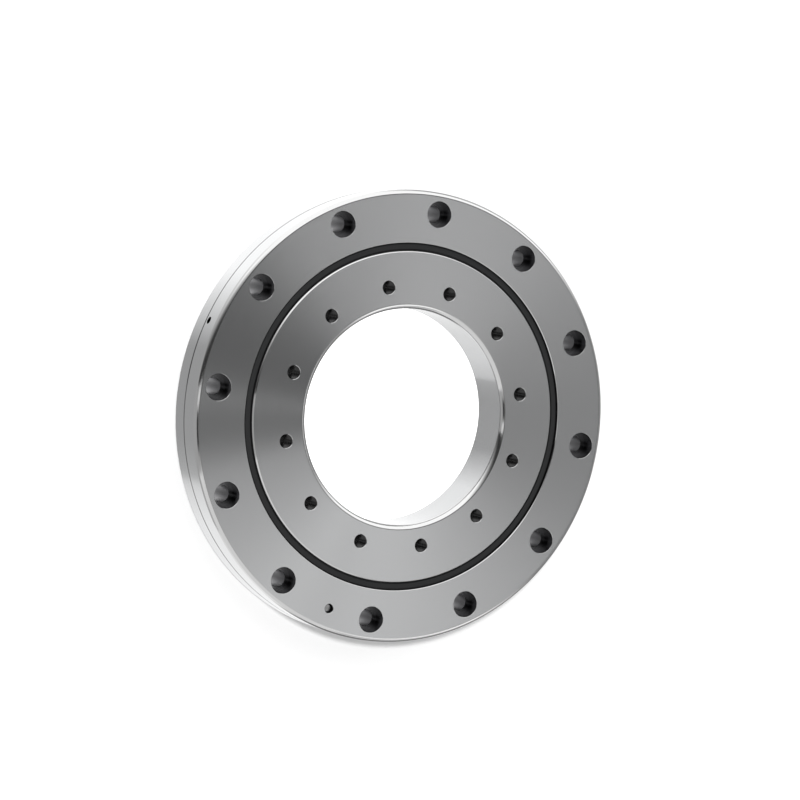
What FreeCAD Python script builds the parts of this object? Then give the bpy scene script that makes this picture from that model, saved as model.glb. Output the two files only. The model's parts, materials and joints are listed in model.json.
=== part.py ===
"""Crossed roller bearing whose two rings are bolted straight to the machine.

The bearing lies on its back face with its axis on +Z. The origin is the centre of that
face, and the front face, with the counterbores, is on top. The X axis runs through one
of the outer ring's bolt holes. Lengths are in millimetres and angles in degrees.
"""
import FreeCAD, Part
import math
import os
import Sketcher

# Driving dimensions
SIZES = {
    # Both rings
    "bore_dia": 115,
    "outer_dia": 240,
    "ring_width": 28,
    "ring_corner": 2,
    "ring_gap": 2,
    # Rollers, and the square channel between the rings that holds them
    "pitch_offset": 0.25,
    "roller_count": 36,
    "roller_dia": 12,
    "roller_end_play": 0.4,
    "raceway_clearance": 0.02,
    # Spacers between the rollers
    "spacer_side_play": 1,
    "spacer_face_play": 0.15,
    "spacer_thickness": 6,
    # Seals
    "seal_seat_step": 2.2,
    "seal_seat_depth": 4.5,
    "seal_recess": 1.2,
    "seal_lip_gap": 0.1,
    "seal_seat_play": 0.02,
    "land_chamfer": 0.8,
    "seat_chamfer": 0.4,
    # Bolt holes of the outer ring, their axes this far inside the rim
    "outer_bolt_edge": 11.5,
    "outer_bolt_count": 12,
    "bolt_hole_dia": 9,
    "counterbore_dia": 14,
    "counterbore_depth": 8.6,
    # Tapped holes of the inner ring, drilled for the thread, their axes this far outside the bore
    "inner_bolt_edge": 12,
    "inner_bolt_count": 12,
    "tap_drill_dia": 6.8,
    "thread_mouth_dia": 8.2,
    "inner_ring_turn": 18.5,
    # Rim of the outer ring, its groove below and its oil holes above mid-height
    "rim_groove_drop": 0.7,
    "rim_groove_width": 1.2,
    "rim_groove_depth": 0.6,
    "oil_hole_dia": 4,
    "oil_hole_count": 2,
    "oil_hole_rise": 2.9,
    "oil_hole_angle": 44,
    # Filling plug, where the rollers went in, and the pin that locks it
    "plug_dia": 14,
    "plug_play": 0.01,
    "plug_angle": 136.4,
    "pin_dia": 5,
    "pin_recess": 2.5,
    "pin_play": 0.005,
}

FULL_TURN = 360
MID_HEIGHT = "sizes.ring_width / 2"
# The rollers' circle lies midway between bore and rim, a little outwards: this keeps both rings' walls
PITCH = "((sizes.bore_dia + sizes.outer_dia) / 4 + sizes.pitch_offset)"
OUTER_BOLTS = "(sizes.outer_dia / 2 - sizes.outer_bolt_edge)"
INNER_BOLTS = "(sizes.bore_dia / 2 + sizes.inner_bolt_edge)"
# From the pitch circle to the point where a raceway's two flanks would meet
RACEWAY_REACH = "(sizes.roller_dia / 2 + sizes.raceway_clearance) * sqrt(2)"
INNER_LAND = f"{PITCH} - sizes.ring_gap / 2"
OUTER_LAND = f"{PITCH} + sizes.ring_gap / 2"
SEAL_SEAT = f"{OUTER_LAND} + sizes.seal_seat_step"
ROLLER_LENGTH = "sizes.roller_dia - sizes.roller_end_play"
# Where a sketch's corners stand before their distances are set
SEED_CENTRE = 50
SEED_RADIUS = 20

doc = FreeCAD.newDocument("crossed_roller_bearing")


def fill_sheet():
    """The driving dimensions, one row each."""
    sheet = doc.addObject("Spreadsheet::Sheet", "sizes")
    for row, (name, value) in enumerate(SIZES.items(), start=1):
        sheet.set(f"A{row}", name)
        sheet.set(f"B{row}", str(value))
        sheet.setAlias(f"B{row}", name)
    doc.recompute()
    return sheet


def origin_part(body, role):
    """The body's own origin plane or axis of this role."""
    return next(item for item in body.Origin.OriginFeatures if item.Role == role)


def new_body(name):
    body = doc.addObject("PartDesign::Body", name)
    body.Label = name
    return body


def new_sketch(body, name, plane, angle=None):
    """A sketch on an upright plane through the axis, turned about the axis by angle."""
    sketch = body.newObject("Sketcher::SketchObject", name)
    sketch.AttachmentSupport = [(origin_part(body, plane), "")]
    sketch.MapMode = "FlatFace"
    if angle:
        turn = FreeCAD.Rotation(FreeCAD.Vector(0, 1, 0), 1)
        sketch.AttachmentOffset = FreeCAD.Placement(FreeCAD.Vector(), turn)
        sketch.setExpression("AttachmentOffset.Rotation.Angle", angle)
    return sketch


def place_point(sketch, line, end, start, across, up):
    """Hold one end of a line at the distances across and up from the sketch's origin."""
    for kind, value, expression in (("DistanceX", start.x, across), ("DistanceY", start.y, up)):
        if expression == "0":
            axis = -2 if kind == "DistanceX" else -1
            sketch.addConstraint(Sketcher.Constraint("PointOnObject", line, end, axis))
        else:
            index = sketch.addConstraint(Sketcher.Constraint(kind, -1, 1, line, end, value))
            sketch.setExpression(f"Constraints[{index}]", expression)


def draw_outline(sketch, corners):
    """A closed outline of straight lines through corners, each given as (across, up)."""
    count = len(corners)
    turns = [2 * math.pi * i / count for i in range(count)]
    spread = [FreeCAD.Vector(SEED_CENTRE + SEED_RADIUS * math.cos(turn),
                             SEED_CENTRE + SEED_RADIUS * math.sin(turn), 0) for turn in turns]
    for i in range(count):
        sketch.addGeometry(Part.LineSegment(spread[i], spread[(i + 1) % count]), False)
    for i in range(count):
        sketch.addConstraint(Sketcher.Constraint("Coincident", i, 2, (i + 1) % count, 1))
    for i, (across, up) in enumerate(corners):
        place_point(sketch, i, 1, spread[i], across, up)


def revolve(body, name, corners):
    """Turn a section about the bearing's axis."""
    sketch = new_sketch(body, f"{name}_section", "XZ_Plane")
    draw_outline(sketch, corners)
    ring = body.newObject("PartDesign::Revolution", name)
    ring.Profile = sketch
    ring.ReferenceAxis = (sketch, ["V_Axis"])
    ring.Angle = FULL_TURN
    sketch.Visibility = False
    return ring


def bore_out(body, name, corners, angle=None):
    """Cut an upright round hole whose half section starts and ends on the hole's axis."""
    sketch = new_sketch(body, f"{name}_section", "XZ_Plane", angle)
    draw_outline(sketch, corners)
    hole = body.newObject("PartDesign::Groove", name)
    hole.Profile = sketch
    hole.ReferenceAxis = (sketch, [f"Edge{len(corners)}"])
    hole.Angle = FULL_TURN
    return hole


def drill_radially(body, name, diameter, height, angle):
    """Drill a round hole from the bearing's axis outwards."""
    sketch = new_sketch(body, f"{name}_section", "YZ_Plane", angle)
    circle = sketch.addGeometry(Part.Circle(FreeCAD.Vector(0, 1, 0), FreeCAD.Vector(0, 0, 1), 1), False)
    sketch.addConstraint(Sketcher.Constraint("PointOnObject", circle, 3, -2))
    index = sketch.addConstraint(Sketcher.Constraint("DistanceY", -1, 1, circle, 3, 1))
    sketch.setExpression(f"Constraints[{index}]", height)
    index = sketch.addConstraint(Sketcher.Constraint("Diameter", circle, 2))
    sketch.setExpression(f"Constraints[{index}]", diameter)
    hole = body.newObject("PartDesign::Pocket", name)
    hole.Profile = sketch
    hole.Reversed = True
    hole.setExpression("Length", "sizes.outer_dia")
    return hole


def repeat_around(body, name, feature, count):
    """Repeat a feature evenly about the bearing's axis."""
    pattern = body.newObject("PartDesign::PolarPattern", name)
    pattern.Originals = [feature]
    pattern.Axis = (origin_part(body, "Z_Axis"), [""])
    pattern.Angle = FULL_TURN
    pattern.setExpression("Occurrences", count)
    body.Tip = pattern
    return pattern


def raceway(land, side):
    """The corners of a V raceway from its upper edge down, on the side +1 out or -1 in."""
    sign = "+" if side > 0 else "-"
    half_opening = f"{RACEWAY_REACH} - sizes.ring_gap / 2"
    return [
        (land, f"{MID_HEIGHT} + ({half_opening})"),
        (f"{PITCH} {sign} {RACEWAY_REACH}", MID_HEIGHT),
        (land, f"{MID_HEIGHT} - ({half_opening})"),
    ]


def outer_ring_section():
    rim = "sizes.outer_dia / 2"
    groove = f"{MID_HEIGHT} - sizes.rim_groove_drop"
    return [
        (f"{SEAL_SEAT} + sizes.seat_chamfer", "0"),
        (f"{rim} - sizes.ring_corner", "0"),
        (rim, "sizes.ring_corner"),
        (rim, f"{groove} - sizes.rim_groove_width / 2"),
        (f"{rim} - sizes.rim_groove_depth", groove),
        (rim, f"{groove} + sizes.rim_groove_width / 2"),
        (rim, "sizes.ring_width - sizes.ring_corner"),
        (f"{rim} - sizes.ring_corner", "sizes.ring_width"),
        (f"{SEAL_SEAT} + sizes.seat_chamfer", "sizes.ring_width"),
        (SEAL_SEAT, "sizes.ring_width - sizes.seat_chamfer"),
        (SEAL_SEAT, "sizes.ring_width - sizes.seal_seat_depth"),
        (OUTER_LAND, "sizes.ring_width - sizes.seal_seat_depth"),
        *raceway(OUTER_LAND, +1),
        (OUTER_LAND, "sizes.seal_seat_depth"),
        (SEAL_SEAT, "sizes.seal_seat_depth"),
        (SEAL_SEAT, "sizes.seat_chamfer"),
    ]


def inner_ring_section():
    bore = "sizes.bore_dia / 2"
    return [
        (f"{bore} + sizes.ring_corner", "sizes.ring_width"),
        (f"{INNER_LAND} - sizes.land_chamfer", "sizes.ring_width"),
        (INNER_LAND, "sizes.ring_width - sizes.land_chamfer"),
        *raceway(INNER_LAND, -1),
        (INNER_LAND, "sizes.land_chamfer"),
        (f"{INNER_LAND} - sizes.land_chamfer", "0"),
        (f"{bore} + sizes.ring_corner", "0"),
        (bore, "sizes.ring_corner"),
        (bore, "sizes.ring_width - sizes.ring_corner"),
    ]


def counterbored_hole(body):
    axis = OUTER_BOLTS
    through = f"{axis} + sizes.bolt_hole_dia / 2"
    seat = f"{axis} + sizes.counterbore_dia / 2"
    floor = "sizes.ring_width - sizes.counterbore_depth"
    return bore_out(body, "bolt_hole", [
        (axis, "0"), (through, "0"), (through, floor), (seat, floor),
        (seat, "sizes.ring_width"), (axis, "sizes.ring_width")])


def tapped_hole(body):
    axis = INNER_BOLTS
    mouth = f"{axis} + sizes.thread_mouth_dia / 2"
    wall = f"{axis} + sizes.tap_drill_dia / 2"
    mouth_depth = "(sizes.thread_mouth_dia - sizes.tap_drill_dia) / 2"
    return bore_out(body, "tapped_hole", [
        (axis, "0"), (wall, "0"), (wall, f"sizes.ring_width - {mouth_depth}"),
        (mouth, "sizes.ring_width"), (axis, "sizes.ring_width")], "sizes.inner_ring_turn")


def pin_hole(body):
    axis = OUTER_BOLTS
    wall = f"{axis} + sizes.pin_dia / 2"
    return bore_out(body, "pin_hole", [
        (axis, "0"), (wall, "0"), (wall, "sizes.ring_width"), (axis, "sizes.ring_width")],
        "sizes.plug_angle")


def make_outer_ring():
    """One ring with its raceway, seal seats, bolt holes, oil holes and filling hole."""
    body = new_body("outer_ring")
    revolve(body, "outer_ring_blank", outer_ring_section())
    repeat_around(body, "bolt_holes", counterbored_hole(body), "sizes.outer_bolt_count")
    drill_radially(body, "filling_hole", "sizes.plug_dia", MID_HEIGHT, "sizes.plug_angle")
    pin_hole(body)
    oil_hole = drill_radially(body, "oil_hole", "sizes.oil_hole_dia",
                              f"{MID_HEIGHT} + sizes.oil_hole_rise", "sizes.oil_hole_angle")
    repeat_around(body, "oil_holes", oil_hole, "sizes.oil_hole_count")
    return body


def make_inner_ring():
    """One ring with its raceway and its tapped holes."""
    body = new_body("inner_ring")
    revolve(body, "inner_ring_blank", inner_ring_section())
    repeat_around(body, "tapped_holes", tapped_hole(body), "sizes.inner_bolt_count")
    return body


def make_seal(name, front):
    """A rubber ring on its seat in the outer ring, its lip just off the inner ring's land."""
    def height(depth):
        return f"sizes.ring_width - ({depth})" if front else depth
    body = new_body(name)
    lip = f"{INNER_LAND} + sizes.seal_lip_gap"
    rim = f"{SEAL_SEAT} - sizes.seal_seat_play"
    seated = height("sizes.seal_seat_depth")
    exposed = height("sizes.seal_recess")
    revolve(body, f"{name}_ring", [(lip, seated), (rim, seated), (rim, exposed), (lip, exposed)])
    return body


def placement(radius, angle, height, tilt="0", offset="0"):
    """An expression: a place on a circle about the axis, its Z tilted outwards, moved by offset along Z."""
    return (f"placement(vector(({radius}) * cos({angle}); ({radius}) * sin({angle}); {height});"
            f" rotation({angle}; {tilt}; 0)) * placement(vector(0; 0; {offset}); rotation(0; 0; 0))")


def make_cylinder(name, radius, length, place):
    cylinder = doc.addObject("Part::Cylinder", name)
    cylinder.Label = name
    cylinder.setExpression("Radius", radius)
    cylinder.setExpression("Height", length)
    cylinder.setExpression("Placement", place)
    return cylinder


def combine(kind, name, base, tool):
    result = doc.addObject(kind, name)
    result.Label = name
    result.Base = base
    result.Tool = tool
    return result


def make_filling_plug():
    """A plug turned and ground with the ring: it carries the ring's raceway, rim and groove."""
    blank = new_body("plug_stock")
    revolve(blank, "plug_stock_ring", outer_ring_section())
    core = make_cylinder("plug_core", "sizes.plug_dia / 2 - sizes.plug_play", "sizes.outer_dia",
                         placement("0", "sizes.plug_angle", MID_HEIGHT, tilt="90"))
    plug = combine("Part::Common", "plug_blank", blank, core)
    bore = make_cylinder("plug_pin_bore", "sizes.pin_dia / 2", "sizes.ring_width",
                         placement(OUTER_BOLTS, "sizes.plug_angle", "0"))
    return combine("Part::Cut", "filling_plug", plug, bore)


def make_lock_pin():
    """A pin pressed through ring and plug, a little short of both faces."""
    return make_cylinder("lock_pin", "sizes.pin_dia / 2 - sizes.pin_play",
                         "sizes.ring_width - 2 * sizes.pin_recess",
                         placement(OUTER_BOLTS, "sizes.plug_angle",
                                   "sizes.pin_recess"))


def roller_tilt(number):
    """Neighbouring rollers lean opposite ways: the cross of a crossed roller bearing."""
    return 45 if number % 2 == 0 else 135


def make_roller(number):
    angle = f"{number} * {FULL_TURN} / sizes.roller_count"
    half_back = f"-({ROLLER_LENGTH}) / 2"
    return make_cylinder(f"roller_{number + 1:02d}", "sizes.roller_dia / 2", ROLLER_LENGTH,
                         placement(PITCH, angle, MID_HEIGHT, roller_tilt(number), half_back))


def make_spacer(number, radius, step, side, thickness, hollow, mid_height):
    """A block that stands between two crossed rollers, with one hollow face for each."""
    centre = FreeCAD.Vector(radius, 0, mid_height)
    block = Part.makeBox(side, thickness, side, FreeCAD.Vector(-side / 2, -thickness / 2, -side / 2))
    block.rotate(FreeCAD.Vector(), FreeCAD.Vector(0, 1, 0), 45)
    block.translate(centre)
    block.rotate(FreeCAD.Vector(), FreeCAD.Vector(0, 0, 1), (number + 0.5) * step)
    for neighbour in (number, number + 1):
        reach = 2 * side
        roller = Part.makeCylinder(hollow, reach, FreeCAD.Vector(0, 0, -reach / 2))
        roller.rotate(FreeCAD.Vector(), FreeCAD.Vector(0, 1, 0), roller_tilt(neighbour))
        roller.translate(centre)
        roller.rotate(FreeCAD.Vector(), FreeCAD.Vector(0, 0, 1), neighbour * step)
        block = block.cut(roller)
    return block


def make_spacers(sheet):
    """All spacers as separate solids of one feature."""
    count = int(sheet.roller_count)
    pitch = (sheet.bore_dia + sheet.outer_dia) / 4 + sheet.pitch_offset
    spacers = doc.addObject("Part::Feature", "spacers")
    spacers.Label = "spacers"
    spacers.Shape = Part.makeCompound([
        make_spacer(number, pitch, FULL_TURN / count,
                    sheet.roller_dia - sheet.spacer_side_play, sheet.spacer_thickness,
                    sheet.roller_dia / 2 + sheet.spacer_face_play, sheet.ring_width / 2)
        for number in range(count)])
    return spacers


def check(nodes):
    """Stop if any object failed, a cut missed, or a sub-part isn't a valid solid."""
    for item in doc.Objects:
        if "Invalid" in item.State or "Error" in item.State:
            raise RuntimeError(f"{item.Label} failed: {item.State}")
        if item.TypeId in ("PartDesign::Groove", "PartDesign::Pocket"):
            if item.Shape.Volume >= item.BaseFeature.Shape.Volume - 1:
                raise RuntimeError(f"{item.Label} cuts nothing")
    for node in nodes:
        if node.Shape.isNull() or not node.Shape.isValid() or not node.Shape.Solids:
            raise RuntimeError(f"{node.Label} is not a valid solid")


def main():
    sheet = fill_sheet()
    nodes = [
        make_outer_ring(),
        make_inner_ring(),
        make_seal("front_seal", front=True),
        make_seal("rear_seal", front=False),
        make_filling_plug(),
        make_lock_pin(),
        *[make_roller(number) for number in range(int(sheet.roller_count))],
        make_spacers(sheet),
    ]
    doc.recompute()
    check(nodes)
    os.makedirs("parts", exist_ok=True)
    for node in nodes:
        node.Shape.exportStep(f"parts/{node.Label}.step")
    for node in nodes[:6] + nodes[-1:]:
        print(node.Label, len(node.Shape.Solids), "solids", round(node.Shape.Volume), "mm3")


main()
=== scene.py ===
"""Looks of the crossed roller bearing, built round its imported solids.

Everything is in metres in the part's own frame: the origin at the centre of the back face,
+Z out of the front face. The rings, seals, filling plug and lock pin are modelled again with
their edge breaks, threads and tool marks, and stand for the plain solids.
"""

import bmesh
import bpy
import json
import math
from mathutils import Matrix, Vector


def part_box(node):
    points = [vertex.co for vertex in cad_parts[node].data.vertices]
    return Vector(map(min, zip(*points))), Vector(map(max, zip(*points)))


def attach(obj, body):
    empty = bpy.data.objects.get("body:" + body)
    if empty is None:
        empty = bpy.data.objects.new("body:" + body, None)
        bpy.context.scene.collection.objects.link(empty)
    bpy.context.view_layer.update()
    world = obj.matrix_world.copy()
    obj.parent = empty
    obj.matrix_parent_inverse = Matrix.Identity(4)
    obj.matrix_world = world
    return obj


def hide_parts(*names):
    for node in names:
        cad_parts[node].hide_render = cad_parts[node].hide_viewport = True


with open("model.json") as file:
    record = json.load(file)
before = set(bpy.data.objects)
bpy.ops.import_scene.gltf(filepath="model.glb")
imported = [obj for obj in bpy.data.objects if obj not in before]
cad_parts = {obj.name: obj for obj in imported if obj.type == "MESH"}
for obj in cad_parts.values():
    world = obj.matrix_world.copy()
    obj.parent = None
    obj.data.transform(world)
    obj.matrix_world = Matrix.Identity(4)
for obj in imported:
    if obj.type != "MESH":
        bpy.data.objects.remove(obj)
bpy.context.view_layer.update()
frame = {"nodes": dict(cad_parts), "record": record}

MM = 0.001
mounts = {mount["name"]: mount for mount in frame["record"]["mounts"]}


def dim(mount, key):
    """A mount's size in metres."""
    return mounts[mount]["dims"][key] * MM


def turn_of(mount):
    """The angle about the bearing's axis at which a mount lies."""
    place = mounts[mount]["pos_m"]
    return math.atan2(place[1], place[0])


# Play that the part's source leaves between the pieces
SEAL_PLAY = 0.1 * MM
SEAT_PLAY = 0.02 * MM

# Sizes read from the frame
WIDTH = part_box("outer_ring")[1].z
RIM = dim("housing_seat", "r_mm")
BORE = dim("shaft_bore", "r_mm")
INNER_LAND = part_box("inner_ring")[1].x
PITCH = (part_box("roller_01")[0].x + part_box("roller_01")[1].x) / 2
OUTER_LAND = 2 * PITCH - INNER_LAND
SEAL_LIP = INNER_LAND + SEAL_PLAY
SEAL_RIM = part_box("front_seal")[1].x
SEAL_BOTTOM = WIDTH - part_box("front_seal")[0].z
SEAL_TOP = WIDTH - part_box("front_seal")[1].z
SEAT = SEAL_RIM + SEAT_PLAY
BOLT_CIRCLE = dim("outer_bolts", "pcd_mm") / 2
BOLT_HOLE = dim("outer_bolts", "hole_r_mm")
BOLT_COUNT = mounts["outer_bolts"]["dims"]["count"]
TAP_CIRCLE = dim("inner_bolts", "pcd_mm") / 2
TAP_DRILL = dim("inner_bolts", "hole_r_mm")
TAP_COUNT = mounts["inner_bolts"]["dims"]["count"]
OIL_HEIGHT = mounts["oil_hole"]["pos_m"][2]
PIN_LOW, PIN_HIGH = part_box("lock_pin")
PIN_CENTRE = (PIN_LOW + PIN_HIGH) / 2
PIN_RADIUS = (PIN_HIGH.x - PIN_LOW.x) / 2
PLUG_TURN = math.atan2(PIN_CENTRE.y, PIN_CENTRE.x)

# The ring corners: each bulges, and a shallow relief joins it to the flat face
CORNER = 2 * MM
RIM_BOW = 0.42 * MM
RIM_START = 1.95 * MM
RIM_RELIEF_WIDTH = 0.45 * MM
RIM_RELIEF = 0.065 * MM
BORE_BOW = 0.38 * MM
BORE_START = 2.1 * MM
BORE_RELIEF_WIDTH = 0.45 * MM
BORE_RELIEF = 0.085 * MM

# Small chamfers, which bulge by a share of their width
SEAT_CHAMFER = 0.3 * MM
LAND_CHAMFER = 0.72 * MM
CHAMFER_BOW = 0.08

# The raceway, the holes, the rim groove, the plug, the pin and the seals
RACEWAY_DEPTH = 6.487 * MM
RACEWAY_HALF = WIDTH / 2 - RACEWAY_DEPTH
TAP_TURN = math.radians(18.5)
GROOVE_HEIGHT = 13.3 * MM
GROOVE_WIDTH = 1.2 * MM
GROOVE_DEPTH = 0.6 * MM
COUNTERBORE = 7 * MM
COUNTERBORE_DEPTH = 8.6 * MM
EDGE_BREAK = 0.12 * MM
THREAD_PITCH = 1.25 * MM
THREAD_ROOT = 4 * MM
THREAD_MOUTH = 3.8 * MM
THREAD_CONE = 0.18 * MM
THREAD_ROOT_FLAT = THREAD_PITCH / 8
THREAD_FLANK = math.radians(30)
THREAD_SPARE = 2
PLUG_RADIUS = 7 * MM
PLUG_GAP = 0.03 * MM
OIL_RADIUS = 2 * MM
PIN_CHAMFER = 0.6 * MM
SEAL_STEP_WIDTH = 0.65 * MM
SEAL_STEP_DEPTH = 1.3 * MM
SEAL_BEVEL = 0.2 * MM

# The UV map that the tool marks follow
TURNING = "turning"

# How finely round things are divided
RING_STEPS = 360
HOLE_STEPS = 64
THREAD_STEPS = 40
CORNER_STEPS = 6

# Vertices nearer than this become one, and a corner of more degrees than this stays crisp
MERGE = 0.001 * MM
CRISP = 28

# The pin's hole is wider than the pin by this, so that their walls stay apart
PIN_PLAY = MERGE * 5

# How fine the grain of the finishes is, and by what share it changes their roughness
LAY_FINENESS = 4000
LAY_LENGTH = 6
LAY_DETAIL = 2
LAY_SPREAD = 0.1
CLOUD_FINENESS = 300
CLOUD_DETAIL = 3
CLOUD_SPREAD = 0.15
NOISE_LOW = 0.3
NOISE_HIGH = 0.7


# Meshes

def on_circle(radius, angle):
    return (radius * math.cos(angle), radius * math.sin(angle))


def new_mesh():
    """A mesh whose UV map holds each point's place in X and Y from the axis it was turned about."""
    bm = bmesh.new()
    bm.loops.layers.uv.new(TURNING)
    return bm


def finish_face(bm, face, slot, centre=(0, 0)):
    """Give a face its material and its place from the turning axis."""
    face.material_index = slot
    layer = bm.loops.layers.uv[TURNING]
    for corner in face.loops:
        corner[layer].uv = (corner.vert.co.x - centre[0], corner.vert.co.y - centre[1])


def circle(bm, radius, height, centre=(0, 0), steps=RING_STEPS):
    """A closed loop of vertices about an upright axis."""
    loop = []
    for i in range(steps):
        x, y = on_circle(radius, 2 * math.pi * i / steps)
        loop.append(bm.verts.new((centre[0] + x, centre[1] + y, height)))
    return loop


def band(bm, low, high, slot, centre=(0, 0)):
    """Faces between two loops."""
    count = len(low)
    for i in range(count):
        j = (i + 1) % count
        finish_face(bm, bm.faces.new((low[i], low[j], high[j], high[i])), slot, centre)


def turn(bm, outline, slots, centre=(0, 0), steps=RING_STEPS):
    """Turn an outline of (radius, height) points about an upright axis; returns its end loops."""
    loops = [circle(bm, radius, height, centre, steps) for radius, height in outline]
    if isinstance(slots, int):
        slots = [slots] * (len(outline) - 1)
    for low, high, slot in zip(loops, loops[1:], slots):
        band(bm, low, high, slot, centre)
    return loops[0], loops[-1]


def link(bm, loop):
    """Join a loop's vertices with edges where there are none yet."""
    for first, second in zip(loop, loop[1:] + loop[:1]):
        if not bm.edges.get((first, second)):
            bm.edges.new((first, second))


def fill(bm, loops, slot):
    """A flat face between an outer loop, an inner loop and the mouths of the holes in it."""
    edges = []
    for loop in loops:
        link(bm, loop)
        edges += [bm.edges.get(pair) for pair in zip(loop, loop[1:] + loop[:1])]
    made = bmesh.ops.triangle_fill(bm, use_beauty=True, use_dissolve=False, edges=edges)
    for item in made["geom"]:
        if isinstance(item, bmesh.types.BMFace):
            finish_face(bm, item, slot)


def bowed(start, end, bow):
    """A corner's outline: nearly straight, bulging outwards by bow in its middle."""
    along = Vector(end) - Vector(start)
    side = Vector((along.y, -along.x)).normalized()
    points = []
    for i in range(CORNER_STEPS + 1):
        t = i / CORNER_STEPS
        points.append(tuple(Vector(start) + along * t + side * bow * 4 * t * (1 - t)))
    return points


def finish_mesh(bm, name, materials):
    """Close the mesh, shade it with crisp edges and put it in the scene."""
    bmesh.ops.remove_doubles(bm, verts=bm.verts, dist=MERGE)
    bmesh.ops.dissolve_degenerate(bm, edges=bm.edges, dist=MERGE / 10)
    bmesh.ops.recalc_face_normals(bm, faces=bm.faces)
    mesh = bpy.data.meshes.new(name)
    bm.to_mesh(mesh)
    bm.free()
    for finish in materials:
        mesh.materials.append(finish)
    piece = bpy.data.objects.new(name, mesh)
    bpy.context.scene.collection.objects.link(piece)
    shade(piece)
    return piece


def shade(piece):
    """Smooth, but crisp at corners and wherever one finish meets another."""
    mesh = piece.data
    mesh.shade_smooth()
    mesh.set_sharp_from_angle(angle=math.radians(CRISP))
    finishes = {}
    for face in mesh.polygons:
        for key in face.edge_keys:
            finishes.setdefault(key, set()).add(face.material_index)
    for edge in mesh.edges:
        if len(finishes[edge.key]) > 1:
            edge.use_edge_sharp = True


def cut(piece, cutters, operation="DIFFERENCE"):
    """Cut pieces out of a closed mesh and remove the cutters."""
    for cutter in cutters:
        modifier = piece.modifiers.new("cut", "BOOLEAN")
        modifier.operation = operation
        modifier.solver = "EXACT"
        modifier.object = cutter
    bpy.context.view_layer.update()
    evaluated = piece.evaluated_get(bpy.context.evaluated_depsgraph_get())
    mesh = bpy.data.meshes.new_from_object(evaluated)
    piece.modifiers.clear()
    piece.data = mesh
    for cutter in cutters:
        bpy.data.objects.remove(cutter)
    shade(piece)


def radial_rod(name, radius, start, end, height, turn_angle, slot):
    """A closed cylinder that points away from the bearing's axis."""
    bm = new_mesh()
    low = circle(bm, radius, start, steps=HOLE_STEPS)
    high = circle(bm, radius, end, steps=HOLE_STEPS)
    band(bm, low, high, slot)
    for loop in (low, high):
        finish_face(bm, bm.faces.new(loop), slot)
    rod = finish_mesh(bm, name, STEELS)
    lie_down = Matrix.Rotation(turn_angle, 4, "Z") @ Matrix.Rotation(math.pi / 2, 4, "Y")
    rod.data.transform(Matrix.Translation((0, 0, height)) @ lie_down)
    return rod


# Materials

def material(name, **inputs):
    """A Principled material with these sockets set; returns it with its nodes."""
    made = bpy.data.materials.new(name)
    made.use_nodes = True
    shader = made.node_tree.nodes["Principled BSDF"]
    for socket, value in inputs.items():
        shader.inputs[socket.replace("_", " ")].default_value = value
    return made, made.node_tree, shader


def add(tree, kind, **settings):
    """A new node with these properties."""
    node = tree.nodes.new(kind)
    for key, value in settings.items():
        setattr(node, key, value)
    return node


def wire(tree, source, target):
    tree.links.new(source, target)


def maths(tree, operation, *values):
    """A math node on sockets or plain numbers; returns its output."""
    node = add(tree, "ShaderNodeMath", operation=operation)
    for i, value in enumerate(values):
        if isinstance(value, (int, float)):
            node.inputs[i].default_value = value
        else:
            wire(tree, value, node.inputs[i])
    return node.outputs[0]


def mapped(tree, value, low, high, to_low, to_high):
    """The value, taken from the range low to high to the range to_low to to_high and held there."""
    node = add(tree, "ShaderNodeMapRange")
    wire(tree, value, node.inputs["Value"])
    ends = {"From Min": low, "From Max": high, "To Min": to_low, "To Max": to_high}
    for socket, number in ends.items():
        node.inputs[socket].default_value = number
    return node.outputs["Result"]


def lay(tree):
    """Noise drawn out along the turning direction, as a grinding wheel or a lathe leaves it."""
    place = add(tree, "ShaderNodeSeparateXYZ")
    wire(tree, add(tree, "ShaderNodeUVMap", uv_map=TURNING).outputs[0], place.inputs[0])
    across, along = place.outputs[:2]
    split = add(tree, "ShaderNodeSeparateXYZ")
    wire(tree, add(tree, "ShaderNodeTexCoord").outputs["Object"], split.inputs[0])
    up = split.outputs[2]
    radius = maths(tree, "SQRT", maths(tree, "ADD", maths(tree, "MULTIPLY", across, across),
                                       maths(tree, "MULTIPLY", along, along)))
    join = add(tree, "ShaderNodeCombineXYZ")
    wire(tree, maths(tree, "MULTIPLY", radius, LAY_FINENESS), join.inputs[0])
    wire(tree, maths(tree, "MULTIPLY", up, LAY_FINENESS), join.inputs[1])
    cosine = maths(tree, "DIVIDE", across, radius)
    wire(tree, maths(tree, "MULTIPLY", cosine, LAY_LENGTH), join.inputs[2])
    noise = add(tree, "ShaderNodeTexNoise", noise_dimensions="4D")
    noise.inputs["Scale"].default_value = 1
    noise.inputs["Detail"].default_value = LAY_DETAIL
    wire(tree, join.outputs[0], noise.inputs["Vector"])
    sine = maths(tree, "DIVIDE", along, radius)
    wire(tree, maths(tree, "MULTIPLY", sine, LAY_LENGTH), noise.inputs["W"])
    return noise.outputs["Fac"]


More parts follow.
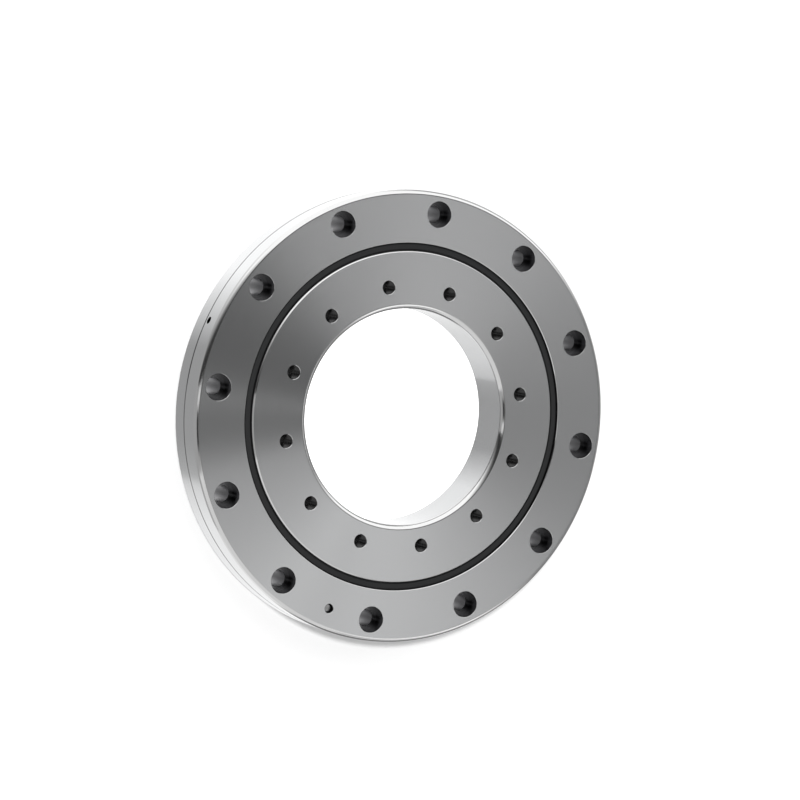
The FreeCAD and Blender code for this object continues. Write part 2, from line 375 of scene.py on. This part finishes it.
def directions(tree, shader, lean):
    """Spread the gloss across the lay, whose scratches run round the turning axis.

    A ground surface's fine ridges lean a little outwards or inwards, by the slope given.
    """
    place = add(tree, "ShaderNodeUVMap", uv_map=TURNING).outputs[0]
    along = add(tree, "ShaderNodeVectorMath", operation="CROSS_PRODUCT")
    along.inputs[0].default_value = (0, 0, 1)
    wire(tree, place, along.inputs[1])
    turned = add(tree, "ShaderNodeVectorTransform", vector_type="NORMAL",
                 convert_from="OBJECT", convert_to="WORLD")
    unit = add(tree, "ShaderNodeVectorMath", operation="NORMALIZE")
    wire(tree, along.outputs[0], unit.inputs[0])
    wire(tree, unit.outputs[0], turned.inputs[0])
    normal = add(tree, "ShaderNodeNewGeometry").outputs["Normal"]
    spread = add(tree, "ShaderNodeVectorMath", operation="CROSS_PRODUCT")
    wire(tree, turned.outputs[0], spread.inputs[0])
    wire(tree, normal, spread.inputs[1])
    wire(tree, spread.outputs[0], shader.inputs["Tangent"])
    if lean:
        leaned = add(tree, "ShaderNodeVectorMath", operation="MULTIPLY_ADD")
        wire(tree, spread.outputs[0], leaned.inputs[0])
        leaned.inputs[1].default_value = (lean, lean, lean)
        wire(tree, normal, leaned.inputs[2])
        unit = add(tree, "ShaderNodeVectorMath", operation="NORMALIZE")
        wire(tree, leaned.outputs[0], unit.inputs[0])
        wire(tree, unit.outputs[0], shader.inputs["Normal"])


def vary(tree, shader, noise, roughness, spread):
    """Make the finish a little rougher and smoother with a noise."""
    varied = mapped(tree, noise, NOISE_LOW, NOISE_HIGH,
                    roughness * (1 - spread), roughness * (1 + spread))
    wire(tree, varied, shader.inputs["Roughness"])


def ground_steel(name, colour, roughness, anisotropy, lean=0.0, metallic=1.0):
    """Steel ground, turned or drilled about an axis."""
    made, tree, shader = material(name, Base_Color=(*colour, 1), Metallic=metallic,
                                  Roughness=roughness, Anisotropic=anisotropy)
    directions(tree, shader, lean)
    vary(tree, shader, lay(tree), roughness, LAY_SPREAD)
    return made


def mottled(name, colour, roughness, metallic=1.0):
    """Polished steel, rubber or plastic with a faintly mottled finish."""
    made, tree, shader = material(name, Base_Color=(*colour, 1), Metallic=metallic,
                                  Roughness=roughness)
    place = add(tree, "ShaderNodeTexCoord").outputs["Object"]
    noise = add(tree, "ShaderNodeTexNoise")
    noise.inputs["Scale"].default_value = CLOUD_FINENESS
    noise.inputs["Detail"].default_value = CLOUD_DETAIL
    wire(tree, place, noise.inputs["Vector"])
    vary(tree, shader, noise.outputs["Fac"], roughness, CLOUD_SPREAD)
    return made


FACE_STEEL = ground_steel("face_steel", (0.60, 0.605, 0.61), 0.18, 0.95, lean=0.09)
RIM_STEEL = ground_steel("rim_steel", (0.62, 0.625, 0.63), 0.13, 0.6)
BORE_STEEL = ground_steel("bore_steel", (0.53, 0.535, 0.54), 0.13, 0.6, metallic=0.75)
CORNER_STEEL = ground_steel("corner_steel", (0.68, 0.68, 0.68), 0.12, 0.5)
# The groove steel is darkened as painted shade in the rim groove.
SHADED_GROOVE_STEEL = ground_steel("shaded_groove_steel", (0.26, 0.26, 0.26), 0.2, 0.5)
RACEWAY_STEEL = ground_steel("raceway_steel", (0.62, 0.62, 0.63), 0.15, 0.4)
# The hole steel is near black as painted shade on the walls of the counterbores, the pin hole, the
# filling hole and the oil holes.
SHADED_HOLE_STEEL = ground_steel("shaded_hole_steel", (0.05, 0.05, 0.055), 0.2, 0.6)
# The drilled steel is darkened as painted shade on the through holes' walls; its roughness is the
# drilled finish.
SHADED_DRILLED_STEEL = ground_steel("shaded_drilled_steel", (0.34, 0.34, 0.35), 0.5, 0.1)
# The seat steel is darkened as painted shade on the counterbores' floors.
SHADED_SEAT_STEEL = ground_steel("shaded_seat_steel", (0.17, 0.17, 0.175), 0.2, 0.9)
# The thread steel is near black as painted shade inside the tapped holes.
SHADED_THREAD_STEEL = ground_steel("shaded_thread_steel", (0.07, 0.07, 0.07), 0.2, 0.3)
BREAK_STEEL = ground_steel("break_steel", (0.62, 0.62, 0.62), 0.12, 0.4)
PIN_STEEL = ground_steel("pin_steel", (0.42, 0.42, 0.42), 0.25, 0.6)
ROLLER_STEEL = mottled("roller_steel", (0.66, 0.66, 0.67), 0.12)
RUBBER = mottled("seal_rubber", (0.014, 0.0145, 0.015), 0.55, metallic=0.0)
RUBBER_SHINE = 0.25
RUBBER.node_tree.nodes["Principled BSDF"].inputs["Specular IOR Level"].default_value = RUBBER_SHINE
PLASTIC = mottled("spacer_plastic", (0.72, 0.68, 0.58), 0.5, metallic=0.0)

# The rings' finishes, and the material slot of each; the hole, drilled, seat, thread and groove
# steels are darkened as painted shade
STEELS = [FACE_STEEL, RIM_STEEL, BORE_STEEL, CORNER_STEEL, SHADED_GROOVE_STEEL, RACEWAY_STEEL,
          SHADED_HOLE_STEEL, SHADED_DRILLED_STEEL, SHADED_SEAT_STEEL, SHADED_THREAD_STEEL, BREAK_STEEL]
(FACE, RIM_SLOT, BORE_SLOT, CORNER_SLOT, GROOVE, RACEWAY,
 HOLE, DRILLED, SEAT_SLOT, THREAD, BREAK) = range(len(STEELS))


# Rings

def rim_outline():
    """The outside of the outer ring from the back face up to the front face."""
    low = bowed((RIM - RIM_START, RIM_RELIEF), (RIM, CORNER), RIM_BOW)
    high = bowed((RIM, WIDTH - CORNER), (RIM - RIM_START, WIDTH - RIM_RELIEF), RIM_BOW)
    groove = [(RIM, GROOVE_HEIGHT - GROOVE_WIDTH / 2), (RIM - GROOVE_DEPTH, GROOVE_HEIGHT),
              (RIM, GROOVE_HEIGHT + GROOVE_WIDTH / 2)]
    relief = RIM - RIM_START - RIM_RELIEF_WIDTH
    points = [(relief, 0)] + low + groove + high + [(relief, WIDTH)]
    corner = [CORNER_SLOT] * (len(low) - 1)
    slots = [BREAK, *corner, RIM_SLOT, GROOVE, GROOVE, RIM_SLOT, *corner, BREAK]
    return points, slots


def raceway_outline(land, side):
    """The V raceway at a ring's land, from its upper edge down; side is +1 or -1."""
    middle = WIDTH / 2
    valley = land + side * RACEWAY_HALF
    return [(land, middle + RACEWAY_HALF), (valley, middle), (land, middle - RACEWAY_HALF)]


def between_chamfers(front, middle):
    """An outline with the same chamfer at both its ends, and its slots."""
    back = [(radius, WIDTH - height) for radius, height in reversed(front)]
    points = front + middle + back
    chamfer = [CORNER_SLOT] * (len(front) - 1)
    return points, chamfer + [RACEWAY] * (len(middle) + 1) + chamfer


def channel_outline():
    """The inside of the outer ring from the front face down to the back face."""
    chamfer = bowed((SEAT, WIDTH - SEAT_CHAMFER), (SEAT + SEAT_CHAMFER, WIDTH),
                    -CHAMFER_BOW * SEAT_CHAMFER)[::-1]
    middle = [(SEAT, WIDTH - SEAL_BOTTOM), (OUTER_LAND, WIDTH - SEAL_BOTTOM),
              *raceway_outline(OUTER_LAND, +1), (OUTER_LAND, SEAL_BOTTOM), (SEAT, SEAL_BOTTOM)]
    return between_chamfers(chamfer, middle)


def land_outline():
    """The outside of the inner ring from the front face down to the back face."""
    chamfer = bowed((INNER_LAND, WIDTH - LAND_CHAMFER), (INNER_LAND - LAND_CHAMFER, WIDTH),
                    CHAMFER_BOW * LAND_CHAMFER)[::-1]
    return between_chamfers(chamfer, raceway_outline(INNER_LAND, -1))


def bore_outline():
    """The bore from the front face down to the back face."""
    low = bowed((BORE, CORNER), (BORE + BORE_START, BORE_RELIEF), BORE_BOW)
    high = bowed((BORE + BORE_START, WIDTH - BORE_RELIEF), (BORE, WIDTH - CORNER), BORE_BOW)
    relief = BORE + BORE_START + BORE_RELIEF_WIDTH
    points = [(relief, WIDTH)] + high + low + [(relief, 0)]
    corner = [CORNER_SLOT] * (len(low) - 1)
    return points, [BREAK, *corner, BORE_SLOT, *corner, BREAK]


def counterbored_hole(bm, centre):
    """The walls of one bolt hole; returns its mouths in the front and the back face."""
    floor = WIDTH - COUNTERBORE_DEPTH
    outline = [(COUNTERBORE + EDGE_BREAK, WIDTH), (COUNTERBORE, WIDTH - EDGE_BREAK),
               (COUNTERBORE, floor), (BOLT_HOLE + EDGE_BREAK, floor),
               (BOLT_HOLE, floor - EDGE_BREAK), (BOLT_HOLE, EDGE_BREAK),
               (BOLT_HOLE + EDGE_BREAK, 0)]
    slots = [BREAK, HOLE, SEAT_SLOT, BREAK, DRILLED, BREAK]
    return turn(bm, outline, slots, centre, HOLE_STEPS)


def pin_hole(bm, centre):
    """The wall of the lock pin's hole; returns its mouths."""
    outline = [(PIN_RADIUS + EDGE_BREAK, WIDTH), (PIN_RADIUS + PIN_PLAY, WIDTH - EDGE_BREAK),
               (PIN_RADIUS + PIN_PLAY, EDGE_BREAK), (PIN_RADIUS + EDGE_BREAK, 0)]
    return turn(bm, outline, [BREAK, HOLE, BREAK], centre, HOLE_STEPS)


def threaded_hole(bm, centre):
    """An M8 thread with a chamfered mouth at each face; returns its mouths."""
    flank = (THREAD_ROOT - TAP_DRILL) * math.tan(THREAD_FLANK)
    crest = THREAD_PITCH - THREAD_ROOT_FLAT - 2 * flank
    profile = [(0, THREAD_ROOT), (THREAD_ROOT_FLAT, THREAD_ROOT),
               (THREAD_ROOT_FLAT + flank, TAP_DRILL),
               (THREAD_ROOT_FLAT + flank + crest, TAP_DRILL)]
    last_turn = math.ceil(WIDTH / THREAD_PITCH) + THREAD_SPARE
    rows = [(pitch * THREAD_PITCH + rise, radius)
            for pitch in range(-THREAD_SPARE, last_turn) for rise, radius in profile]
    lowest, highest = THREAD_CONE, WIDTH - THREAD_CONE
    grid = []
    for rise, radius in rows:
        row = []
        for i in range(THREAD_STEPS):
            height = min(max(rise + THREAD_PITCH * i / THREAD_STEPS, lowest), highest)
            mouth = THREAD_MOUTH - min(height, WIDTH - height)
            reach = max(radius, mouth) if lowest < height < highest else mouth
            point = bm.verts.new((*on_circle(reach, 2 * math.pi * i / THREAD_STEPS), height))
            point.co += Vector((*centre, 0))
            row.append(point)
        grid.append(row)
    step = len(profile)
    for i in range(len(grid) - step - 1):
        for j in range(THREAD_STEPS):
            wraps = j + 1 == THREAD_STEPS
            right = (j + 1) % THREAD_STEPS
            low = i + step if wraps else i
            corners = (grid[i][j], grid[low][right], grid[low + 1][right], grid[i + 1][j])
            finish_face(bm, bm.faces.new(corners), THREAD, centre)
    mouths = []
    for face, inwards in ((WIDTH, -THREAD_CONE), (0, THREAD_CONE)):
        mouths.append(circle(bm, THREAD_MOUTH, face, centre, THREAD_STEPS))
        end = circle(bm, THREAD_MOUTH - THREAD_CONE, face + inwards, centre, THREAD_STEPS)
        band(bm, mouths[-1], end, BREAK, centre)
    return mouths


def make_outer_ring():
    bm = new_mesh()
    rim_low, rim_high = turn(bm, *rim_outline())
    seat_high, seat_low = turn(bm, *channel_outline())
    fronts, backs = [rim_high, seat_high], [rim_low, seat_low]
    for i in range(BOLT_COUNT):
        front, back = counterbored_hole(bm, on_circle(BOLT_CIRCLE, 2 * math.pi * i / BOLT_COUNT))
        fronts.append(front)
        backs.append(back)
    front, back = pin_hole(bm, PIN_CENTRE.xy)
    fill(bm, fronts + [front], FACE)
    fill(bm, backs + [back], FACE)
    ring = finish_mesh(bm, "outer_ring_ground", STEELS)
    reach = (OUTER_LAND, RIM + CORNER)
    rods = [radial_rod("filling_hole", PLUG_RADIUS, *reach, WIDTH / 2, PLUG_TURN, HOLE)]
    for i, mount in enumerate(("oil_hole", "opposite_oil_hole")):
        rods.append(radial_rod(f"oil_drill_{i}", OIL_RADIUS, *reach, OIL_HEIGHT,
                               turn_of(mount), HOLE))
    cut(ring, rods)
    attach(ring, "outer")
    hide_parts("outer_ring")


def make_filling_plug():
    """The plug is ground with the outer ring, so it is cut from the same turned section."""
    bm = new_mesh()
    rim_low, rim_high = turn(bm, *rim_outline())
    seat_high, seat_low = turn(bm, *channel_outline())
    band(bm, rim_high, seat_high, FACE)
    band(bm, seat_low, rim_low, FACE)
    plug = finish_mesh(bm, "filling_plug_ground", STEELS)
    rod = radial_rod("plug_rod", PLUG_RADIUS - PLUG_GAP, PITCH, RIM + CORNER, WIDTH / 2,
                     PLUG_TURN, CORNER_SLOT)
    cut(plug, [rod], "INTERSECT")
    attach(plug, "outer")
    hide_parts("filling_plug")


def make_inner_ring():
    bm = new_mesh()
    land_high, land_low = turn(bm, *land_outline())
    bore_high, bore_low = turn(bm, *bore_outline())
    fronts, backs = [land_high, bore_high], [land_low, bore_low]
    for i in range(TAP_COUNT):
        angle = TAP_TURN + 2 * math.pi * i / TAP_COUNT
        front, back = threaded_hole(bm, on_circle(TAP_CIRCLE, angle))
        fronts.append(front)
        backs.append(back)
    fill(bm, fronts, FACE)
    fill(bm, backs, FACE)
    ring = finish_mesh(bm, "inner_ring_ground", STEELS)
    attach(ring, "inner")
    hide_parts("inner_ring")


def make_seal(node, front):
    """A moulded rubber ring, its edges stepped down beside both rings."""
    low = SEAL_TOP + SEAL_STEP_DEPTH
    inner, outer = SEAL_LIP + SEAL_STEP_WIDTH, SEAL_RIM - SEAL_STEP_WIDTH
    bevel = SEAL_TOP + SEAL_BEVEL
    points = [(SEAL_LIP, SEAL_BOTTOM), (SEAL_LIP, low), (inner, low), (inner, bevel),
              (inner + SEAL_BEVEL, SEAL_TOP), (outer - SEAL_BEVEL, SEAL_TOP),
              (outer, bevel), (outer, low), (SEAL_RIM, low), (SEAL_RIM, SEAL_BOTTOM)]
    if front:
        points = [(radius, WIDTH - depth) for radius, depth in points]
    bm = new_mesh()
    first, last = turn(bm, points, 0)
    band(bm, last, first, 0)
    seal = finish_mesh(bm, f"{node}_moulded", [RUBBER])
    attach(seal, "outer")
    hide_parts(node)


def make_lock_pin():
    bm = new_mesh()
    low, high = PIN_LOW.z, PIN_HIGH.z
    end = PIN_RADIUS - PIN_CHAMFER
    outline = [(end, low), (PIN_RADIUS, low + PIN_CHAMFER), (PIN_RADIUS, high - PIN_CHAMFER),
               (end, high)]
    first, last = turn(bm, outline, 0, PIN_CENTRE.xy, HOLE_STEPS)
    for loop in (first, last):
        finish_face(bm, bm.faces.new(loop), 0, PIN_CENTRE.xy)
    pin = finish_mesh(bm, "lock_pin_turned", [PIN_STEEL])
    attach(pin, "outer")
    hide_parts("lock_pin")


def dress_solids():
    """Rollers and spacers keep their solids and get their materials."""
    for name, node in frame["nodes"].items():
        if name.startswith("roller_") or name == "spacers":
            node.data.materials.clear()
            node.data.materials.append(PLASTIC if name == "spacers" else ROLLER_STEEL)


make_outer_ring()
make_inner_ring()
make_seal("front_seal", front=True)
make_seal("rear_seal", front=False)
make_filling_plug()
make_lock_pin()
dress_solids()


# Studio

# The photograph's right and down in the plane of the bearing's face
PHOTO_TURN = math.radians(-124.12)
PHOTO_RIGHT = Vector((math.cos(PHOTO_TURN), math.sin(PHOTO_TURN), 0))
PHOTO_DOWN = Vector((PHOTO_RIGHT.y, -PHOTO_RIGHT.x, 0))
UP = Vector((0, 0, 1))

# The camera, fitted to the photograph
CAMERA_PLACE = (0.38376, 0.61728, 1.45998)
CAMERA_RIGHT = Vector((-0.29641, -0.84644, 0.44235))
CAMERA_UP = Vector((0.92616, -0.36783, -0.08325))
LENS = 136.8
SENSOR = 36.0

# The key lamp stands high over the picture's left, a little towards its top
KEY_ABOVE = 0.22
KEY_LEFT = 0.9
KEY_HEIGHT = 2.0
KEY_PLACE = tuple(-PHOTO_DOWN * KEY_ABOVE - PHOTO_RIGHT * KEY_LEFT + Vector((0, 0, KEY_HEIGHT)))
KEY_SIZE = 0.2
KEY_POWER = 34

# The floor is white paper, which shines only for the camera; inside the bore it shines more, as
# painted light that washes out the bearing's shadow there
FLOOR_HALF = 4
FLOOR_DROP = 0.2 * MM
FLOOR_GRAY = 0.8
FLOOR_GLOW = 0.05
BORE_GLOW = 1.0
GLOW_FADE = 10 * MM

# What the steel mirrors is given by direction, as levels of brightness. Round the direction
# that the flat faces mirror in the photograph, at MIRROR_RIGHT and MIRROR_DOWN, a bearing is
# the angle in degrees, clockwise from the picture's right, and the reach is the distance.
# A pair is where a level starts and ends, and three numbers are a window with its soft edge.
MIRROR_RIGHT = 0.4495
MIRROR_DOWN = -0.0229
# Added to a bearing where a window would run across 0 degrees
SEAM = 60
# Keeps a division off zero
TINY = 0.0001

# Near that direction, seen by the flat faces: brighter at the picture's top and bottom
SKY_SIDE = 0.28
SKY_TOP = 0.61
SKY_BOTTOM = 0.78
SKY_HALVES = (-0.05, 0.05)
CARD_SHADE = 0.65
SHADE_START = (152.5, 155)
SHADE_END = (202, 262)
LIFT = 0.4
LIFT_START = (20, 70)
LIFT_DROP = (95, 115)
LIFT_KEPT = 0.42
LIFT_END = (165, 190)

# A dark ring round it, seen by the reliefs beside the ring corners
RING_DARK = 0.06
RING_LIGHT = 0.12
RING_ABOVE = (235, 265)
RING_BELOW = (100, 110)
RING_LEFT = (170, 315, 15)
RING_LEFT_REACH = (0.26, 0.41, 0.03)
RING_RIGHT = (0, 170, 10)
RING_RIGHT_REACH = (0.235, 0.31, 0.02)

# A gray patch at its right, seen by the bore's corner
BESIDE_LEVEL = 0.31
BESIDE_BELOW = (35, 55)
BESIDE_ABOVE = (300, 320)
BESIDE_REACH = (0.44, 0.75, 0.03)

# Farther out, seen by the ring corners: white, but duller at the lower right
FAR_REACH = (0.36, 0.42)
HORIZON = 1.4
HORIZON_RIGHT = 0.66
DULL_RIGHT = (50, 165, 12)
DULL_REACH = (0.43, 0.51)
DULL_TURN = (60, 120)
DULL_SHIFT = 0.17
HORIZON_LOW = 0.87
DULL_LOW = (92, 160, 10)

# At the left a gray card with a black slit and a bright spot, and a black gap beside it
CARD_LEVEL = 0.45
CARD = (152.5, 175.5, 1)
SLIT = (157.5, 170, 2)
SLIT_REACH = (1.0, 1.1)
SPOT_LEVEL = 0.9
SPOT = (169, 176.5, 2)
SPOT_REACH = (1.05, 1.2)
GAP_LEVEL = 0.04
GAP = (174.5, 275, 1)
GAP_END = 200.5
GAP_SLOPE = 0.055
GAP_CURVE = 0.5

# Below the horizon a white table, seen by the rim and the bore; its bearings are about the axis
TABLE_UP = (-0.02, 0.06)
TABLE_LOW = 1.15
TABLE_PLAIN = 0.95
TABLE_WHITE = 1.42
LOW_END = (95, 119)
WHITE_START = (170, 200)
# On it lies a gray card, darker away from its edge and in a line along it
SHEET_START = 120.5
SHEET_EDGE = 1
SHEET_END = (194, 240)
SHEET_LIGHT = 0.55
SHEET_LIGHT_AT = 3
SHEET_DARK_AT = 22
SHEET_LINE_WIDTH = 2.5
SHEET_LINE_SOFT = 0.5
SHEET_LINE_DEPTH = 0.1
# Behind the bearing, as the camera stands in the photograph, the table is dark
BEHIND_UP = (-0.82, -0.7)
BEHIND_BELOW = (76, 88)
BEHIND_ABOVE = (275, 290)
BEHIND_HALVES = (180, 200)
BEHIND_DARK = 0.2
BEHIND_LIGHT = 0.5


def make_camera():
    data = bpy.data.cameras.new("camera")
    data.lens = LENS
    data.sensor_width = SENSOR
    camera = bpy.data.objects.new("camera", data)
    back = CAMERA_RIGHT.cross(CAMERA_UP)
    turned = Matrix((CAMERA_RIGHT, CAMERA_UP, back)).transposed()
    camera.matrix_world = Matrix.Translation(CAMERA_PLACE) @ turned.to_4x4()
    bpy.context.scene.collection.objects.link(camera)
    bpy.context.scene.camera = camera


def make_floor():
    bm = bmesh.new()
    bmesh.ops.create_grid(bm, x_segments=1, y_segments=1, size=FLOOR_HALF)
    mesh = bpy.data.meshes.new("floor")
    bm.to_mesh(mesh)
    bm.free()
    floor = bpy.data.objects.new("floor", mesh)
    bpy.context.scene.collection.objects.link(floor)
    gray = (FLOOR_GRAY, FLOOR_GRAY, FLOOR_GRAY, 1)
    made, tree, shader = material("floor_paper", Base_Color=gray, Roughness=1)
    shader.inputs["Specular IOR Level"].default_value = 0
    shader.inputs["Emission Color"].default_value = (1, 1, 1, 1)
    rays = add(tree, "ShaderNodeLightPath")
    place = add(tree, "ShaderNodeTexCoord").outputs["Object"]
    length = add(tree, "ShaderNodeVectorMath", operation="LENGTH")
    wire(tree, place, length.inputs[0])
    # Painted light: the floor glows brightest inside the bore and fades beyond it, so that no
    # shadow shows there.
    glow = mapped(tree, length.outputs["Value"], BORE, BORE + GLOW_FADE, BORE_GLOW, FLOOR_GLOW)
    seen = maths(tree, "MULTIPLY", rays.outputs["Is Camera Ray"], glow)
    wire(tree, seen, shader.inputs["Emission Strength"])
    mesh.materials.append(made)
    floor.location.z = -FLOOR_DROP
    floor.visible_glossy = False


def make_world():
    """The studio round the bearing, as levels of brightness in fixed directions."""
    world = bpy.data.worlds.new("studio")
    bpy.context.scene.world = world
    world.use_nodes = True
    tree = world.node_tree
    background = tree.nodes["Background"]
    background.inputs["Color"].default_value = (1, 1, 1, 1)
    direction = add(tree, "ShaderNodeTexCoord").outputs["Generated"]

    def along(axis):
        """The direction's part along an axis."""
        dot = add(tree, "ShaderNodeVectorMath", operation="DOT_PRODUCT")
        wire(tree, direction, dot.inputs[0])
        dot.inputs[1].default_value = axis
        return dot.outputs["Value"]

    def plus(first, second):
        return maths(tree, "ADD", first, second)

    def minus(first, second):
        return maths(tree, "SUBTRACT", first, second)

    def times(first, second):
        return maths(tree, "MULTIPLY", first, second)

    def either(first, second):
        return maths(tree, "MAXIMUM", first, second)

    def whole_turn(angle):
        """The angle between 0 and 360."""
        return maths(tree, "FLOORED_MODULO", angle, 360)

    def degrees(across, down):
        """The angle clockwise from the picture's right, between 0 and 360."""
        return whole_turn(times(maths(tree, "ARCTAN2", down, across), 180 / math.pi))

    def ramp(value, span, low, high):
        """Goes from low to high over the span, and is held before and after it."""
        return mapped(tree, value, *span, low, high)

    def within(value, low, high, soft):
        """1 between low and high, 0 outside, with an edge this soft."""
        return times(mapped(tree, value, low, low + soft, 0, 1),
                     mapped(tree, value, high - soft, high, 1, 0))

    def join(low, high, mask):
        """The level low where the mask is 0, and high where it is 1."""
        mixed = add(tree, "ShaderNodeMix", data_type="FLOAT")
        for socket, value in zip(mixed.inputs[:4], (mask, None, low, high)):
            if isinstance(value, (int, float)):
                socket.default_value = value
            elif value is not None:
                wire(tree, value, socket)
        return mixed.outputs[0]

    right, down, up = along(PHOTO_RIGHT), along(PHOTO_DOWN), along(UP)

    # Seen by the flat faces
    across = minus(right, MIRROR_RIGHT)
    below = minus(down, MIRROR_DOWN)
    square = times(below, below)
    total = plus(square, times(across, across))
    upright = maths(tree, "DIVIDE", square, plus(total, TINY))
    reach = maths(tree, "SQRT", total)
    halves = ramp(below, SKY_HALVES, SKY_TOP - SKY_SIDE, SKY_BOTTOM - SKY_SIDE)
    sky = plus(times(upright, halves), SKY_SIDE)
    bearing = degrees(across, below)
    card = times(ramp(bearing, SHADE_START, 0, 1), ramp(bearing, SHADE_END, 1, 0))
    sky = times(sky, mapped(tree, card, 0, 1, 1, CARD_SHADE))
    turned = whole_turn(plus(bearing, SEAM))
    lift = times(ramp(turned, LIFT_START, 0, LIFT), ramp(turned, LIFT_DROP, 1, LIFT_KEPT))
    lift = times(lift, ramp(turned, LIFT_END, 1, 0))
    sky = maths(tree, "MULTIPLY_ADD", sky, lift, sky)

    # Seen by the ring corners
    slope = plus(reach, times(minus(bearing, GAP_END), GAP_SLOPE))
    slope = either(slope, 0)
    gap = maths(tree, "MULTIPLY_ADD", times(slope, slope), GAP_CURVE, GAP_LEVEL)
    gap = maths(tree, "MINIMUM", gap, HORIZON)
    dull = within(turned, *DULL_RIGHT)
    edge = minus(reach, ramp(turned, DULL_TURN, 0, DULL_SHIFT))
    far = join(HORIZON, HORIZON_RIGHT, times(dull, ramp(edge, DULL_REACH, 0, 1)))
    far = join(far, HORIZON_LOW, within(bearing, *DULL_LOW))
    far = join(far, gap, within(bearing, *GAP))
    far = join(far, CARD_LEVEL, within(bearing, *CARD))
    far = join(far, GAP_LEVEL, times(within(bearing, *SLIT), ramp(reach, SLIT_REACH, 1, 0)))
    far = join(far, SPOT_LEVEL, times(within(bearing, *SPOT), ramp(reach, SPOT_REACH, 1, 0)))

    # The table, seen by the rim and the bore
    around = degrees(right, down)
    card = times(mapped(tree, around, SHEET_START, SHEET_START + SHEET_EDGE, 0, 1),
                 ramp(around, SHEET_END, 1, 0))
    shade = mapped(tree, around, SHEET_START + SHEET_LIGHT_AT, SHEET_START + SHEET_DARK_AT,
                   SHEET_LIGHT, CARD_LEVEL)
    line = within(around, SHEET_START, SHEET_START + SHEET_LINE_WIDTH, SHEET_LINE_SOFT)
    shade = minus(shade, times(line, SHEET_LINE_DEPTH))
    table = plus(ramp(around, LOW_END, TABLE_LOW, TABLE_PLAIN),
                 ramp(around, WHITE_START, 0, TABLE_WHITE - TABLE_PLAIN))

    # Masks of the patch, the dark ring and the table's dark side
    beside = either(ramp(bearing, BESIDE_BELOW, 1, 0), ramp(bearing, BESIDE_ABOVE, 0, 1))
    ring = either(times(within(bearing, *RING_LEFT), within(reach, *RING_LEFT_REACH)),
                  times(within(turned, *RING_RIGHT), within(reach, *RING_RIGHT_REACH)))
    shadow = either(ramp(bearing, RING_ABOVE, RING_DARK, RING_LIGHT),
                    ramp(bearing, RING_BELOW, RING_LIGHT, RING_DARK))
    beside = times(beside, within(reach, *BESIDE_REACH))
    behind = times(ramp(up, BEHIND_UP, 0, 1),
                   plus(ramp(around, BEHIND_BELOW, 1, 0), ramp(around, BEHIND_ABOVE, 0, 1)))

    # All of it together
    table = join(table, ramp(around, BEHIND_HALVES, BEHIND_DARK, BEHIND_LIGHT), behind)
    level = join(sky, far, ramp(reach, FAR_REACH, 0, 1))
    level = join(join(level, shadow, ring), BESIDE_LEVEL, beside)
    level = join(join(table, shade, card), level, ramp(up, TABLE_UP, 0, 1))
    wire(tree, level, background.inputs["Strength"])


def make_lamp(name, place, size, power):
    """An area lamp that shines at the origin and isn't mirrored by the steel."""
    data = bpy.data.lights.new(name, "AREA")
    data.energy = power
    data.size = size
    lamp = bpy.data.objects.new(name, data)
    lamp.location = place
    lamp.visible_glossy = False
    lamp.rotation_mode = "QUATERNION"
    lamp.rotation_quaternion = (-Vector(place)).to_track_quat("-Z", "Y")
    bpy.context.scene.collection.objects.link(lamp)


make_camera()
make_floor()
make_world()
make_lamp("key", KEY_PLACE, KEY_SIZE, KEY_POWER)

scene = bpy.context.scene
scene.view_settings.view_transform = "Standard"
